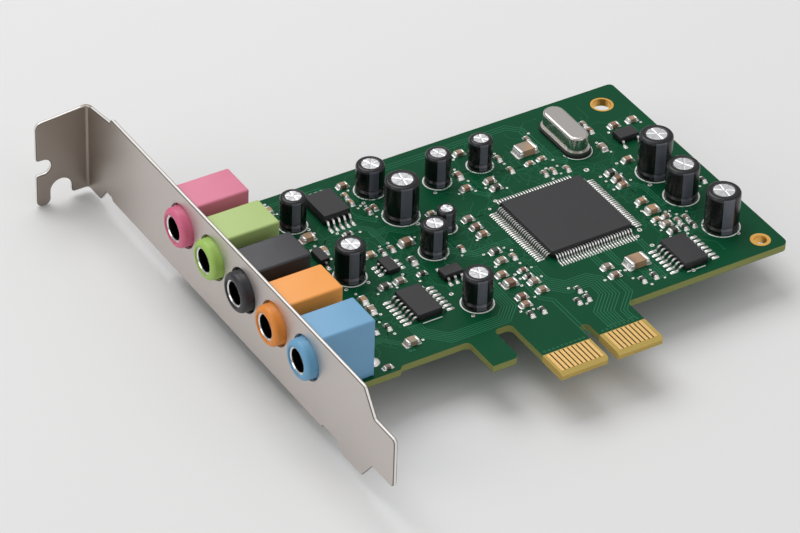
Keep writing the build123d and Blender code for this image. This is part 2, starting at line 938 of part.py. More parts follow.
# Crystal: spacer on the board, flanged metal can, and two leads
rim = crystal_flange + spacer_rim
with BuildPart() as crystal_spacer:
    with BuildSketch(Plane.XY.offset(board_face)):
        stadium(crystal_length + 2 * rim, crystal_width + 2 * rim)
    extrude(amount=spacer_height)
    with BuildSketch(Plane.XY.offset(board_face)):
        with Locations(*crystal_lead_spots):
            Circle(lead_radius)
    extrude(amount=spacer_height, mode=Mode.SUBTRACT)
save(crystal_spacer, "crystal_spacer")

with BuildPart() as crystal_can:
    with BuildSketch(Plane.XY.offset(board_face + spacer_height)):
        stadium(crystal_length, crystal_width)
    extrude(amount=crystal_height - spacer_height)
    fillet(edges().group_by(Axis.Z)[-1], crystal_round)
    with BuildSketch(Plane.XY.offset(board_face + spacer_height)):
        stadium(crystal_length + 2 * crystal_flange, crystal_width + 2 * crystal_flange)
    extrude(amount=flange_thickness)
save(crystal_can, "crystal_can")
save(make_leads(crystal_lead_spots, board_face + spacer_height), "crystal_leads")


def make_chips(chips, part):
    """Chip components side by side: their middles, or the metal caps at both ends."""
    with BuildPart() as pieces:
        for kind, (length, width, height, metal) in chip_sizes.items():
            places = [
                Location((x, y, 0), (0, 0, angle)) for x, y, angle, size in chips if size == kind
            ]
            middle = length - 2 * metal
            shift = (middle + metal) / 2
            if places:
                with BuildSketch(Plane.XY.offset(board_face)):
                    with Locations(*places):
                        if part == "middles":
                            Rectangle(middle, width)
                        else:
                            with Locations((-shift, 0), (shift, 0)):
                                Rectangle(metal, width)
                extrude(amount=height)
    return pieces


save(make_chips(chip_capacitors, "middles"), "chip_capacitor_bodies")
save(make_chips(chip_resistors, "middles"), "chip_resistor_bodies")
save(make_chips(chip_capacitors + chip_resistors, "ends"), "chip_end_caps")
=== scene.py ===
from math import cos, hypot, pi, radians, sin

import bmesh
import bpy
import numpy as np
from mathutils import Matrix, Vector


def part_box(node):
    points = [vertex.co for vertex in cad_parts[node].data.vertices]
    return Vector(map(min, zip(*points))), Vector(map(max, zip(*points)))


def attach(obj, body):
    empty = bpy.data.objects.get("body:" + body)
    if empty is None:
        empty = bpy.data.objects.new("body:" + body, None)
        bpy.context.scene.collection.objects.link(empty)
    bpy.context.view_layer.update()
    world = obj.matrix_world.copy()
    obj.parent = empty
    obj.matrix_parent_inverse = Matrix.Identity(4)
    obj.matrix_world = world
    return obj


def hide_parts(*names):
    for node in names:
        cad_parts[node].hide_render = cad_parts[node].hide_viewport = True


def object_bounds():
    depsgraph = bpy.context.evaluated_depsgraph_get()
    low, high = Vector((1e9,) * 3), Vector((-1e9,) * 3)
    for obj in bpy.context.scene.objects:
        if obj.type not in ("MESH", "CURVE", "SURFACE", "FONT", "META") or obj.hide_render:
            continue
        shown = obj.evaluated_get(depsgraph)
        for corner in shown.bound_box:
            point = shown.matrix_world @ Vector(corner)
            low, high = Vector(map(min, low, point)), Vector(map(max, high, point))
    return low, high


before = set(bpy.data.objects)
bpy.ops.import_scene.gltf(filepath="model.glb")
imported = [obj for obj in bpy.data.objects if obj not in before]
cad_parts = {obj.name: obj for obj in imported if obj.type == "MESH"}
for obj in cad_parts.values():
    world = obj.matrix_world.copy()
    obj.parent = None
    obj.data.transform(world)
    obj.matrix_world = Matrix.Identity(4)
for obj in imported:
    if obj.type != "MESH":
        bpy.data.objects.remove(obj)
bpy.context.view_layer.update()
scene = bpy.context.scene
scene.view_settings.view_transform = "Standard"

MM = 0.001

# Levels of the board and places that the pieces share, in millimetres
SOLDER_FACE, BOARD_FACE = [corner[2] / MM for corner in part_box("circuit_board")]
BRACKET_FACE = -56.0
SHEET = 0.86
TAB_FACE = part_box("bracket")[1][1] / MM
TONGUE_LEFT = -12.0
MASK_EDGE = 7.0
MOUTH_RADIUS = 2.4

# The middle of each row of contact fingers, and how many it has, 1 mm apart
FINGER_ROWS = ((-6.55, 10), (6.35, 9))

# Nodes that come in groups: jacks by colour, cans with their sleeves, legs with their bodies
JACKS = ("blue", "orange", "black", "green", "pink")
CAPACITORS = {
    number: (f"capacitor_can_{number:02d}", f"capacitor_sleeve_{number:02d}")
    for number in range(1, 13)
}
PACKAGES = {
    "controller_legs": "controller_body",
    "amplifier_legs": "amplifier_body",
    "converter_legs": "converter_bodies",
    "small_package_legs": "small_package_bodies",
}


def centre(node):
    """The middle of a node's box, in millimetres."""
    lowest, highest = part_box(node)
    return [(a + b) / 2 / MM for a, b in zip(lowest, highest)]


def span(node):
    """The three sides of a node's box, in millimetres."""
    lowest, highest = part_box(node)
    return [(b - a) / MM for a, b in zip(lowest, highest)]


def top_of(node):
    """The highest level of a node, in millimetres."""
    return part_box(node)[1][2] / MM


# Camera: its place in metres, the angles it looks along, and its lens in millimetres
CAMERA_PLACE = (-0.38981, -0.53036, 0.51631)
CAMERA_HEADING = radians(57.33)
CAMERA_DROP = radians(37.04)
CAMERA_ROLL = radians(-1.964)
CAMERA_LENS = 195.5


def add_camera():
    """Looks along a heading from +X towards +Y, tipped down, then rolled about the view."""
    forward = Vector(
        (
            cos(CAMERA_HEADING) * cos(CAMERA_DROP),
            sin(CAMERA_HEADING) * cos(CAMERA_DROP),
            -sin(CAMERA_DROP),
        )
    )
    right = forward.cross(Vector((0, 0, 1))).normalized()
    turn = Matrix.Rotation(CAMERA_ROLL, 3, forward)
    right = turn @ right
    up = right.cross(forward)
    camera = bpy.data.objects.new("camera", bpy.data.cameras.new("camera"))
    camera.data.lens = CAMERA_LENS
    camera.data.clip_start = 0.01
    rotation = Matrix((right, up, -forward)).transposed()
    camera.matrix_world = Matrix.Translation(CAMERA_PLACE) @ rotation.to_4x4()
    scene.collection.objects.link(camera)
    scene.camera = camera


add_camera()


class Value:
    """A number that changes over a surface: a socket that takes part in sums."""

    def __init__(self, finish, socket):
        self.finish = finish
        self.socket = socket

    def maths(self, operation, *others):
        """The result of a Math node on this value and others."""
        return self.finish.node("ShaderNodeMath", {"operation": operation}, self, *others)

    def __add__(self, other):
        return self.maths("ADD", other)

    __radd__ = __add__

    def __mul__(self, other):
        return self.maths("MULTIPLY", other)

    __rmul__ = __mul__

    def __sub__(self, other):
        return self.maths("SUBTRACT", other)

    def __rsub__(self, other):
        return self.finish.node("ShaderNodeMath", {"operation": "SUBTRACT"}, other, self)

    def __truediv__(self, other):
        return self.maths("DIVIDE", other)

    def size(self):
        """The value without its sign."""
        return self.maths("ABSOLUTE")

    def root(self):
        """The value's square root."""
        return self.maths("SQRT")

    def above(self, edge, soft):
        """0 below the edge, 1 above it, with a soft change between."""
        settings = {"interpolation_type": "SMOOTHSTEP"}
        return self.finish.node(
            "ShaderNodeMapRange", settings, self, edge - soft, edge + soft, 0.0, 1.0
        )

    def below(self, edge, soft):
        """1 below the edge, 0 above it, with a soft change between."""
        return 1 - self.above(edge, soft)


class Finish:
    """A material whose pattern is worked out from the object's own coordinates."""

    def __init__(self, name, color, roughness=0.5, metallic=0.0, **constants):
        self.material = bpy.data.materials.new(name)
        self.material.use_nodes = True
        self.material.diffuse_color = (*color, 1)
        self.tree = self.material.node_tree
        self.shader = self.tree.nodes["Principled BSDF"]
        self.shader.inputs["Base Color"].default_value = (*color, 1)
        self.shader.inputs["Roughness"].default_value = roughness
        self.shader.inputs["Metallic"].default_value = metallic
        for socket, number in constants.items():
            self.shader.inputs[socket.replace("_", " ")].default_value = number
        self.color = color
        self.object_place = self.tree.nodes.new("ShaderNodeTexCoord").outputs["Object"]
        split = self.tree.nodes.new("ShaderNodeSeparateXYZ")
        self.tree.links.new(self.object_place, split.inputs[0])
        self.x, self.y, self.z = [Value(self, output) / MM for output in split.outputs]

    def put(self, item, socket):
        """Links a socket or a Value, or sets a plain number or colour."""
        if isinstance(item, Value):
            item = item.socket
        if isinstance(item, bpy.types.NodeSocket):
            self.tree.links.new(item, socket)
        elif isinstance(item, tuple) and socket.type == "RGBA" and len(item) == 3:
            socket.default_value = (*item, 1)
        else:
            socket.default_value = item

    def node(self, kind, settings, *items, output=0):
        """Adds a node with its settings, feeds its sockets in order, and gives one output."""
        node = self.tree.nodes.new(kind)
        for setting, choice in settings.items():
            setattr(node, setting, choice)
        for place, item in enumerate(items):
            if item is not None:
                self.put(item, node.inputs[place])
        return Value(self, node.outputs[output])

    def noise(self, scale, detail=2.0, stretch=(1, 1, 1)):
        """Noise from 0 to 1, scale in features per metre, stretched by direction."""
        place = self.node(
            "ShaderNodeMapping", {}, self.object_place, None, None, tuple(stretch)
        )
        return self.node("ShaderNodeTexNoise", {}, place, None, scale, detail)

    def blend(self, factor, first, second):
        """A colour between two others."""
        node = self.tree.nodes.new("ShaderNodeMix")
        node.data_type = "RGBA"
        self.put(factor, node.inputs["Factor"])
        self.put(first, node.inputs[6])
        self.put(second, node.inputs[7])
        return node.outputs[2]

    def vary(self, amount, share):
        """The finish's colour, lighter and darker by a share as the amount goes 0 to 1."""
        dark = tuple(part * (1 - share) for part in self.color)
        light = tuple(min(1.0, part * (1 + share)) for part in self.color)
        return self.blend(amount, dark, light)

    def set(self, **items):
        """Feeds the shader's sockets by name."""
        for socket, item in items.items():
            self.put(item, self.shader.inputs[socket.replace("_", " ")])

    def bump(self, height, strength, distance):
        """Raises the surface by a pattern of height, at most by the distance in metres."""
        node = self.tree.nodes.new("ShaderNodeBump")
        node.inputs["Strength"].default_value = strength
        node.inputs["Distance"].default_value = distance
        self.put(height, node.inputs["Height"])
        self.tree.links.new(node.outputs["Normal"], self.shader.inputs["Normal"])


def mask_green(name, color, sheen=0.36):
    """Solder mask: satin green lacquer, faintly uneven."""
    finish = Finish(name, color, sheen, Specular_IOR_Level=0.09)
    cloud = finish.noise(90.0, 3.0)
    finish.set(Base_Color=finish.vary(cloud, 0.12))
    finish.set(Roughness=sheen + 0.12 * cloud)
    finish.bump(finish.noise(2600.0, 2.0), 0.12, 0.00005)
    return finish


def board_finish():
    """Green lacquer on both faces, bare laminate on the cut edges and around the fingers."""
    finish = mask_green("board", (0.0040, 0.072, 0.029))
    cloud = finish.noise(90.0, 3.0)
    weave = finish.noise(5200.0, 2.0, (1, 1, 4))
    green = finish.vary(cloud, 0.16)
    laminate = finish.blend(weave, (0.42, 0.29, 0.075), (0.58, 0.43, 0.13))
    edge_tone = finish.blend(weave, (0.20, 0.22, 0.07), (0.30, 0.32, 0.11))
    on_face = finish.z.size().above(BOARD_FACE - 0.04, 0.02)
    foot, head = [corner[1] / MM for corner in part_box("contact_fingers_front")]
    between = on_face * finish.y.above(foot, 0.03) * finish.y.below(head, 0.03)
    rows = [
        (finish.x - middle).size().below(count / 2 - 0.15, 0.03) for middle, count in FINGER_ROWS
    ]
    laminate = finish.blend(between * (rows[0] + rows[1]), laminate, (0.085, 0.052, 0.012))
    on_tongue = finish.y.below(MASK_EDGE, 0.05) * finish.x.above(TONGUE_LEFT - 0.4, 0.1)
    side = finish.blend(on_tongue, edge_tone, laminate)
    covered = on_face * (1 - on_tongue)
    finish.set(Base_Color=finish.blend(covered, side, green))
    finish.set(Roughness=0.62 - 0.28 * covered)
    return finish


def metal(name, color, roughness, grain, grain_scale, stretch=(1, 1, 1), bump=0.1, share=1.0):
    """Bare metal with fine grain in its shine. share is how much of it mirrors."""
    finish = Finish(name, color, roughness, share)
    specks = finish.noise(grain_scale, 3.0, stretch)
    finish.set(Base_Color=finish.vary(specks, grain * 0.5))
    finish.set(Roughness=roughness - grain / 2 + grain * specks)
    finish.bump(specks, bump, 0.00004)
    return finish


def bracket_finish():
    """Satin plated steel with a long faint grain and handling marks. Painted shade makes the
    corner of the fold and the tab darker and browner, and the rounding beside the sheared
    edges dark; the sheared edges, bare cut steel, are painted pale as a painted highlight."""
    finish = Finish("bracket", (0.64, 0.59, 0.56), 0.40, 0.9)
    grain = finish.noise(500.0, 4.0, (1, 1, 14))
    marks = finish.noise(60.0, 4.0)
    along = (TAB_FACE - finish.y) / 30.0
    bare = finish.vary(0.5 * grain + 0.5 * marks, 0.08)
    # Painted shade: darker and browner towards the fold and over the whole tab
    shaded = along.below(0.32, 0.62)
    half = SHEET / 2
    through_plate = (finish.x - BRACKET_FACE - half).size()
    through_tab = (TAB_FACE - half - finish.y).size()
    on_plate = finish.x.above(BRACKET_FACE - 0.2, 0.02) * finish.y.below(TAB_FACE - 1.8, 0.1)
    on_tab = finish.x.below(BRACKET_FACE - 1.3, 0.1)
    rolled = [
        through.above(half - 0.21, 0.03) * through.below(half - 0.02, 0.02)
        for through in (through_plate, through_tab)
    ]
    cut = [through.below(half - 0.22, 0.03) for through in (through_plate, through_tab)]
    # Painted shade: a dark band on the rounding beside each sheared edge
    rim = on_plate * rolled[0] + on_tab * rolled[1]
    # The sheared cut edge, painted pale and less metallic: partly bare steel, partly a painted
    # highlight
    sheared = on_plate * cut[0] + on_tab * cut[1]
    tone = finish.blend(shaded, bare, (0.30, 0.25, 0.21))
    tone = finish.blend(0.85 * rim, tone, (0.12, 0.105, 0.09))
    finish.set(Base_Color=finish.blend(0.9 * sheared, tone, (0.93, 0.90, 0.87)))
    finish.set(Metallic=0.9 - 0.6 * sheared)
    finish.set(Roughness=0.34 + 0.16 * grain - 0.1 * sheared)
    finish.bump(grain, 0.06, 0.00004)
    return finish


def leg_finish():
    """Tinned legs, with painted shade that darkens the slope between shoulder and foot."""
    finish = metal("leg", (0.95, 0.92, 0.90), 0.34, 0.18, 2200.0, share=0.75)
    specks = finish.noise(2200.0, 3.0)
    # Painted shade on the slope of each leg, between shoulder and foot
    slope = finish.z.above(BOARD_FACE + 0.24, 0.06) * finish.z.below(BOARD_FACE + 0.66, 0.06)
    finish.set(Base_Color=finish.blend(0.8 * slope, finish.vary(specks, 0.09), (0.12, 0.115, 0.11)))
    return finish


def nickel_finish():
    """Bright nickel at the mouths of the jacks, with painted shade that darkens it further in."""
    finish = metal("nickel", (0.88, 0.86, 0.84), 0.22, 0.08, 1800.0)
    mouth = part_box("jack_bushing_blue")[0][0] / MM
    specks = finish.noise(1800.0, 3.0)
    # Painted shade inside the bushing, beyond its mouth
    deep = finish.x.above(mouth + 0.4, 0.12)
    finish.set(Base_Color=finish.blend(deep, finish.vary(specks, 0.04), (0.05, 0.05, 0.052)))
    return finish


def plastic(name, color, roughness=0.42, shade=0.06):
    """Moulded plastic with a very fine texture."""
    finish = Finish(name, color, roughness, 0.0)
    cloud = finish.noise(260.0, 3.0)
    finish.set(Base_Color=finish.vary(cloud, shade))
    finish.set(Roughness=roughness - 0.04 + 0.1 * cloud)
    finish.bump(finish.noise(5200.0, 2.0), 0.15, 0.00003)
    return finish


JACK_COLORS = {
    "blue": ((0.165, 0.385, 0.61), (0.14, 0.37, 0.59)),
    "orange": ((0.93, 0.36, 0.065), (0.80, 0.26, 0.03)),
    "black": ((0.030, 0.030, 0.036), (0.024, 0.024, 0.029)),
    "green": ((0.43, 0.57, 0.195), (0.36, 0.57, 0.115)),
    "pink": ((0.72, 0.20, 0.31), (0.69, 0.135, 0.25)),
}


def jack_finish(jack):
    """Coloured plastic, stronger on the collar, with painted shade that makes the bore near black."""
    block, collar = JACK_COLORS[jack]
    finish = plastic("jack_" + jack, block)
    cloud = finish.noise(260.0, 3.0)
    row, level = centre("jack_bushing_" + jack)[1:]
    reach = ((finish.y - row) * (finish.y - row) + (finish.z - level) * (finish.z - level)).root()
    on_collar = finish.x.below(BRACKET_FACE + 0.4, 0.05)
    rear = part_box("jack_housing_" + jack)[1][0] / MM
    # Painted shade down the bore, near black
    painted_bore_shade = reach.below(MOUTH_RADIUS + 0.06, 0.03) * finish.x.below(rear - 0.5, 0.05)
    tone = finish.blend(on_collar, finish.vary(cloud, 0.05), collar)
    finish.set(Base_Color=finish.blend(painted_bore_shade, tone, (0.012, 0.012, 0.013)))
    return finish


STRIPE_HEADING = radians(75.0)


def sleeve_finish(number, sleeve):
    """Glossy black sleeve with the slate stripe that marks one lead, and a paler rolled rim that is a
    painted highlight.
    """
    x, y = centre(sleeve)[:2]
    radius = span(sleeve)[0] / 2
    top = top_of(sleeve)
    name = f"sleeve_{number:02d}"
    finish = Finish(name, (0.0045, 0.0045, 0.005), 0.26, 0.0, Specular_IOR_Level=0.45)
    facing = (cos(STRIPE_HEADING), sin(STRIPE_HEADING))
    across = finish.x * facing[1] - finish.y * facing[0] - (x * facing[1] - y * facing[0])
    ahead = finish.x * -facing[0] - finish.y * facing[1] + (x * facing[0] + y * facing[1])
    stripe = across.size().below(radius * 0.33, 0.05) * ahead.above(radius * 0.3, 0.1)
    stripe = stripe * finish.z.below(top - 0.25, 0.05)
    cloud = finish.noise(700.0, 3.0)
    slate = finish.blend(cloud, (0.092, 0.099, 0.122), (0.130, 0.139, 0.168))
    # Painted highlight: the rolled rim near the top is painted paler than the black sleeve
    rolled = finish.z.above(top - 0.75, 0.08) * finish.z.below(top - 0.18, 0.06)
    black = finish.blend(rolled, finish.vary(cloud, 0.2), (0.030, 0.032, 0.037))
    finish.set(Base_Color=finish.blend(stripe, black, slate))
    finish.set(Roughness=0.20 + 0.12 * cloud + 0.1 * stripe)
    finish.bump(finish.noise(1200.0, 2.0, (1, 1, 0.3)), 0.12, 0.00006)
    return finish


def epoxy_finish():
    """Chip packages: matt grey-black, sparkling faintly, with painted shade that darkens them below
    1.15 mm over the board.
    """
    finish = Finish("epoxy", (0.023, 0.0228, 0.0255), 0.5, 0.0)
    specks = finish.noise(9000.0, 1.0)
    cloud = finish.noise(200.0, 2.0)
    # Painted shade: the package below 1.15 mm over the board is painted darker
    upper = finish.z.above(BOARD_FACE + 1.15, 0.05)
    tone = finish.blend(upper, (0.009, 0.009, 0.010), finish.vary(specks, 0.35))
    finish.set(Base_Color=tone)
    finish.set(Roughness=0.5 + 0.12 * cloud)
    finish.bump(specks, 0.2, 0.00003)
    return finish


def ceramic_finish():
    """Fired ceramic, tan to brown from one chip to the next."""
    finish = Finish("ceramic", (0.36, 0.22, 0.13), 0.4, 0.0)
    patch = finish.noise(170.0, 0.0)
    paler = finish.noise(130.0, 0.0, (1, 1.4, 1))
    grain = finish.noise(2500.0, 3.0)
    tone = finish.blend(patch.above(0.5, 0.12), (0.23, 0.12, 0.08), (0.46, 0.29, 0.17))
    tone = finish.blend(0.7 * paler.above(0.52, 0.08), tone, (0.30, 0.27, 0.22))
    finish.set(Base_Color=tone)
    finish.set(Roughness=0.32 + 0.16 * grain)
    return finish


def glaze_finish():
    """Chip resistors: dark grey-green glaze."""
    finish = Finish("glaze", (0.070, 0.076, 0.064), 0.3, 0.0)
    grain = finish.noise(1800.0, 2.0)
    finish.set(Base_Color=finish.vary(grain, 0.3), Roughness=0.2 + 0.1 * grain)
    return finish


def ink_finish():
    """White silkscreen ink, slightly broken."""
    finish = Finish("ink", (0.86, 0.90, 0.86), 0.6, 0.0)
    grain = finish.noise(3000.0, 3.0)
    finish.set(Base_Color=finish.vary(grain, 0.25))
    return finish


def lip_finish():
    """Glossy black sleeve where it rolls over the can, painted paler than the sleeve as a painted
    highlight.
    """
    # Painted highlight: a paler black than the sleeve's own
    finish = Finish("lip", (0.030, 0.031, 0.035), 0.2, 0.0)
    cloud = finish.noise(900.0, 2.0)
    finish.set(Base_Color=finish.vary(cloud, 0.3), Roughness=0.13 + 0.12 * cloud)
    return finish


def rubber_finish():
    """Black rubber."""
    finish = Finish("rubber", (0.012, 0.012, 0.012), 0.7, 0.0)
    grain = finish.noise(2000.0, 2.0)
    finish.set(Base_Color=finish.vary(grain, 0.2), Roughness=0.6 + 0.15 * grain)
    return finish


BOARD = board_finish()
TRACK = mask_green("track", (0.028, 0.165, 0.085), 0.30)
STEEL = bracket_finish()
GOLD = metal("gold", (1.0, 0.64, 0.25), 0.36, 0.12, 2600.0, (1, 6, 1))
TIN = metal("tin", (0.93, 0.90, 0.88), 0.34, 0.18, 2200.0, share=0.75)
SOLDER = metal("solder", (0.94, 0.91, 0.89), 0.30, 0.16, 1500.0, bump=0.25, share=0.75)
LEG = leg_finish()
NICKEL = nickel_finish()
PLATING = metal("plating", (1.0, 0.55, 0.14), 0.36, 0.12, 2600.0)
SCREW = metal("screw", (0.74, 0.73, 0.72), 0.3, 0.1, 1800.0)
CAN = metal("can", (0.78, 0.78, 0.80), 0.36, 0.14, 2400.0)
CRYSTAL = metal("crystal", (0.64, 0.61, 0.58), 0.26, 0.02, 900.0, (1, 8, 1), 0.01)
EPOXY = epoxy_finish()
CERAMIC = ceramic_finish()
GLAZE = glaze_finish()
INK = ink_finish()
RUBBER = rubber_finish()
LIP = lip_finish()
LOOSE = mask_green("loose_track", (0.018, 0.125, 0.061), 0.30)

NODE_FINISHES = {
    "circuit_board": BOARD,
    "bracket": STEEL,
    "bracket_screws": SCREW,
    "contact_fingers_front": GOLD,
    "contact_fingers_back": GOLD,
    "upper_hole_lining": PLATING,
    "lower_hole_lining": PLATING,
    "capacitor_bungs": RUBBER,
    "capacitor_leads": TIN,
    "crystal_leads": TIN,
    "jack_contacts": TIN,
    "chip_end_caps": TIN,
    "crystal_spacer": EPOXY,
    "crystal_can": CRYSTAL,
    "chip_capacitor_bodies": CERAMIC,
    "chip_resistor_bodies": GLAZE,
}
for legs, body in PACKAGES.items():
    NODE_FINISHES[legs] = LEG
    NODE_FINISHES[body] = EPOXY
for number, (can, sleeve) in CAPACITORS.items():
    NODE_FINISHES[can] = CAN
    NODE_FINISHES[sleeve] = sleeve_finish(number, sleeve)
for jack in JACKS:
    NODE_FINISHES["jack_housing_" + jack] = jack_finish(jack)
    NODE_FINISHES["jack_bushing_" + jack] = NICKEL
for node, finish in NODE_FINISHES.items():
    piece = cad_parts[node]
    piece.data.materials.clear()
    piece.data.materials.append(finish.material)


# Rolled edges: points closer than MERGED become one, faces within FLAT of each other are one
# face, edges over ROLLED are rolled over, and edges over SHARP are shaded sharp. NEAR is how
# close a vertex on a side of a block lies to that side
MERGED = 0.001 * MM
FLAT = radians(0.4)
ROLLED = radians(40)
SHARP = radians(50)
NEAR = 0.01 * MM


def soften(node, name, width, steps, finish, where=None):
    """A copy of a node with its sharp edges rolled over by a small radius, to stand for it.
    where picks the vertices, in metres, whose edges are rolled over."""
    shape = bmesh.new()
    shape.from_mesh(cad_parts[node].data)
    bmesh.ops.remove_doubles(shape, verts=shape.verts, dist=MERGED)
    bmesh.ops.dissolve_limit(shape, angle_limit=FLAT, verts=shape.verts, edges=shape.edges)
    sharp = [
        edge
        for edge in shape.edges
        if edge.is_manifold
        and edge.calc_face_angle() > ROLLED
        and (where is None or all(where(vertex.co) for vertex in edge.verts))
    ]
    bmesh.ops.bevel(
        shape,
        geom=sharp,
        offset=width * MM,
        offset_type="OFFSET",
        segments=steps,
        profile=0.5,
        affect="EDGES",
        clamp_overlap=False,
    )
    bmesh.ops.triangulate(shape, faces=shape.faces)
    mesh = bpy.data.meshes.new(name)
    shape.to_mesh(mesh)
    shape.free()
    mesh.polygons.foreach_set("use_smooth", [True] * len(mesh.polygons))
    mesh.set_sharp_from_angle(angle=SHARP)
    mesh.materials.append(finish.material)
    made = bpy.data.objects.new(name, mesh)
    scene.collection.objects.link(made)
    smooth = made.modifiers.new("shading", "WEIGHTED_NORMAL")
    smooth.keep_sharp = True
    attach(made, "root")
    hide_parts(node)


def soften_housing(jack):
    """A jack's block with its upper and upright outer edges rolled over."""
    node = "jack_housing_" + jack
    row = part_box("jack_bushing_" + jack)
    middle = (row[0][1] + row[1][1]) / 2
    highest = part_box(node)[1]
    half = highest[1] - middle
    front = (BRACKET_FACE + 0.9) * MM

    def outside(place):
        """Whether a vertex is behind the bracket, on a side or on the top of the block."""
        beside = abs(abs(place.y - middle) - half) < NEAR
        return place.x > front and (beside or place.z > highest[2] - NEAR)

    finish = NODE_FINISHES[node]
    soften(node, f"housing_{jack}_rounded", 0.25, 3, finish, outside)


class Shell:
    """Collects closed surfaces, in millimetres, and makes them one piece."""

    def __init__(self):
        self.points = []
        self.faces = []
        self.count = 0

    def add(self, points, faces):
        """Takes in points and the faces between them."""
        self.points.append(np.asarray(points, float).reshape(-1, 3))
        self.faces += [[corner + self.count for corner in face] for face in faces]
        self.count += len(self.points[-1])

    def loops(self, rings):
        """Closed rings of points, one above the other, joined by quads and capped at both ends.
        rings has the shape (ring, point, 3), counter-clockwise seen from the last ring."""
        rings = np.asarray(rings, float)
        levels, count = rings.shape[:2]
        level, place = np.meshgrid(np.arange(levels - 1), np.arange(count), indexing="ij")
        after = (place + 1) % count
        quads = np.stack(
            [
                level * count + place,
                level * count + after,
                (level + 1) * count + after,
                (level + 1) * count + place,
            ],
            -1,
        ).reshape(-1, 4)
        bottom = list(range(count))[::-1]
        top = list(range((levels - 1) * count, levels * count))
        self.add(rings, quads.tolist() + [bottom, top])

    def tube(self, path_rings):
        """Rings of points that follow each other round a closed path, joined all the way."""
        rings = np.asarray(path_rings, float)
        turns, count = rings.shape[:2]
        turn, place = np.meshgrid(np.arange(turns), np.arange(count), indexing="ij")
        following, after = (turn + 1) % turns, (place + 1) % count
        quads = np.stack(
            [
                turn * count + place,
                following * count + place,
                following * count + after,
                turn * count + after,
            ],
            -1,
        ).reshape(-1, 4)
        self.add(rings, quads.tolist())

    def piece(self, name, finish, slot, smooth=True):
        """Makes all that was taken in one piece of the card."""
        mesh = bpy.data.meshes.new(name)
        mesh.from_pydata((np.concatenate(self.points) * MM).tolist(), [], self.faces)
        mesh.polygons.foreach_set("use_smooth", [smooth] * len(mesh.polygons))
        mesh.update()
        mesh.materials.append(finish.material)
        made = bpy.data.objects.new(name, mesh)
        scene.collection.objects.link(made)
        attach(made, "root")


def turned(x, y, reach, angle, level):
    """Points at a reach and an angle round an upright line through (x, y), at a level."""
    east = x + reach * np.cos(angle)
    north = y + reach * np.sin(angle)
    return np.stack([east, north, np.broadcast_to(level, east.shape)], -1)


def ring(shell, x, y, radius, width, level, height, steps):
    """A flat ring: a small rectangle turned about an upright line through (x, y)."""
    angle = np.linspace(0, 2 * pi, steps, endpoint=False)[:, None]
    reach = np.array([radius, radius + width, radius + width, radius])
    points = turned(x, y, reach, angle, level + np.array([0, 0, height, height]))
    shell.tube(points if height > 0 else points[:, ::-1])


def rounded(half_x, half_y, corner, steps):
    """Points round a rectangle with circular corners, counter-clockwise from +X."""
    quarter = np.linspace(0, pi / 2, steps)
    parts = []
    for turn, (side_x, side_y) in enumerate(((1, 1), (-1, 1), (-1, -1), (1, -1))):
        angle = quarter + turn * pi / 2
        across = side_x * (half_x - corner) + corner * np.cos(angle)
        along = side_y * (half_y - corner) + corner * np.sin(angle)
        parts.append(np.stack([across, along], -1))
    return np.concatenate(parts)


# The slope of solder from a pad in to a foot: shares of the way, and of the height there
SLOPE_WAY = (0, 0, 0.3, 0.62, 0.86, 1.0)
SLOPE_RISE = (0, 0.045, 0.10, 0.32, 0.68, 1.0)
PAD_CORNER = 0.45
FOOT_CORNER = 0.3


def fillet_of_solder(shell, x, y, angle, pad, foot, height, steps=3):
    """Solder between a pad and a foot: the outline runs from the pad's to the foot's, and
    rises little at first and steeply at the foot, which leaves a hollow slope.
    foot is half lengths and the shift of its middle along the local x."""
    outer = rounded(*pad, min(pad) * PAD_CORNER, steps)
    inner = rounded(*foot[:2], min(foot[:2]) * FOOT_CORNER, steps) + [foot[2], 0]
    share = np.array(SLOPE_WAY)[:, None, None]
    level = BOARD_FACE + np.array(SLOPE_RISE)[:, None] * height
    plan = outer * (1 - share) + inner * share
    east = x + plan[..., 0] * cos(angle) - plan[..., 1] * sin(angle)
    north = y + plan[..., 0] * sin(angle) + plan[..., 1] * cos(angle)
    shell.loops(np.stack([east, north, np.broadcast_to(level, east.shape)], -1))


def islands(node):
    """The boxes of a node's separate solids: lowest and highest corners, in millimetres."""
    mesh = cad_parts[node].data
    places = np.empty(len(mesh.vertices) * 3)
    mesh.vertices.foreach_get("co", places)
    places = places.reshape(-1, 3) / MM
    corners = np.empty(len(mesh.loops), int)
    mesh.loops.foreach_get("vertex_index", corners)
    keys = np.unique(np.round(places, 4), axis=0, return_inverse=True)[1].reshape(-1)
    group = np.arange(keys.max() + 1)
    triangles = keys[corners].reshape(-1, 3)
    changed = True
    while changed:
        lowest = group[triangles].min(axis=1)
        before = group.copy()
        for side in range(3):
            np.minimum.at(group, triangles[:, side], lowest)
        group = group[group]
        changed = bool((before != group).any())
    owner = group[keys]
    return [
        (places[owner == name].min(axis=0), places[owner == name].max(axis=0))
        for name in np.unique(owner)
    ]


def chip_ends():
    """For each metal end of a chip: its middle seen from above, the direction away from the
    chip, and half its size."""
    bodies = islands("chip_capacitor_bodies") + islands("chip_resistor_bodies")
    middles = np.array([((low + high) / 2)[:2] for low, high in bodies])
    ends = []
    for low, high in islands("chip_end_caps"):
        place = ((low + high) / 2)[:2]
        away = place - middles[np.argmin(np.hypot(*(middles - place).T))]
        ends.append((place, np.arctan2(away[1], away[0]), (high - low) / 2))
    return ends


CHIP_ENDS = chip_ends()

# Solder at a chip: how far it spreads, more for a wide chip, what share of the metal end it
# climbs, how far its pad shows past it and beside it, and how far it laps over the metal
CHIP_SPREAD = 0.32
CHIP_SPREAD_BY_WIDTH = 0.16
CHIP_CLIMB = 0.72
CHIP_PAD_PAST = 0.08
CHIP_PAD_BESIDE = 0.14
CHIP_LAP = 0.02


